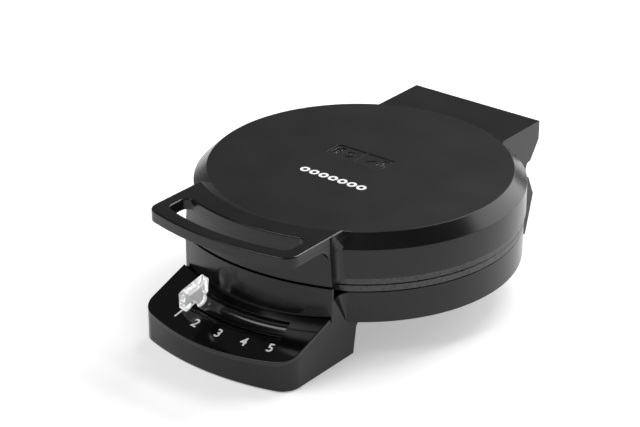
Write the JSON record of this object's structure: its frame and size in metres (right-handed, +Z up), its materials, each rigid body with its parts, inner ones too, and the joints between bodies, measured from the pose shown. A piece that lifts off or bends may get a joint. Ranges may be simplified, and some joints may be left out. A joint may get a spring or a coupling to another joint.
{
  "type": "donut maker",
  "caption": "Round countertop donut maker: hinged lid with a loop handle over ring-cavity baking plates, sloping front panel with a curved heat slider, hinge block behind",
  "frame": {"origin": "under the middle of the overall box, on the surface it stands on", "axes": "+Z up, +Y towards the hinge, -Y towards the handle and heat slider, +X to the right seen from the front"},
  "size_m": [0.22, 0.2954, 0.09],
  "materials": {
    "housing_black": "fine matte moulding, near black",
    "panel_gloss": "polished black",
    "track_gloss": "polished black",
    "cover_black": "plain matte moulding",
    "foot_rubber": "matt rubber",
    "gland_rubber": "matt rubber",
    "screw_steel": "zinc plated",
    "clip_steel": "plain spring steel",
    "pin_steel": "ground steel",
    "plate_coating": "non-stick coating over cast aluminium",
    "element_sheath": "heat tinted steel sheath",
    "reflector_aluminium": "bright sheet",
    "thermostat_ceramic": "glazed body",
    "board_green": "brown laminate",
    "contact_brass": "plated spring metal",
    "terminal_white": "natural moulding",
    "lead_white": "silicone sleeve",
    "indicator_black": "satin black",
    "lens_clear": "clear window",
    "holder_white": "natural moulding",
    "lamp_glass": "neon lamp",
    "knob_clear": "clear acrylic",
    "carriage_black": "low friction moulding"
  },
  "bodies": {
    "base": {"base_housing": "housing_black", "control_panel": "panel_gloss", "slider_track": "track_gloss", "control_cover": "cover_black", "hinge_cover": "cover_black", "front_feet": "foot_rubber", "rear_feet": "foot_rubber", "cover_posts": "cover_black", "cover_screws": "screw_steel", "lower_baking_plate": "plate_coating", "lower_heating_element": "element_sheath", "lower_reflector": "reflector_aluminium", "lower_element_clips": "clip_steel", "lower_plate_screws": "screw_steel", "thermostat_body": "thermostat_ceramic", "thermal_fuse": "clip_steel", "regulator_board": "board_green", "regulator_contacts": "contact_brass", "board_spacers": "cover_black", "terminal_block": "terminal_white", "base_leads": "lead_white", "cord_gland": "gland_rubber", "hinge_pins": "pin_steel"},
    "lid": {"lid_housing": "housing_black", "upper_baking_plate": "plate_coating", "upper_heating_element": "element_sheath", "upper_reflector": "reflector_aluminium", "upper_element_clips": "clip_steel", "upper_plate_screws": "screw_steel", "indicator_panel": "indicator_black", "power_lens": "lens_clear", "ready_lens": "lens_clear", "lamp_holder": "holder_white", "neon_lamps": "lamp_glass", "lid_leads": "lead_white"},
    "heat_slider": {"slider_knob": "knob_clear", "slider_carriage": "carriage_black", "wiper_spring": "contact_brass"}
  },
  "joints": [
    {"name": "lid_hinge", "type": "hinge", "parent": "base", "child": "lid", "pos_m": [0, 0.1334, 0.0515], "axis": [-1, 0, 0], "range_deg": [0, 105]},
    {"name": "heat_slide", "type": "hinge", "parent": "base", "child": "heat_slider", "pos_m": [0, 0.04958, 0.08543], "axis": [0, -0.3219, 0.9468], "range_deg": [0, 20.8]}
  ]
}
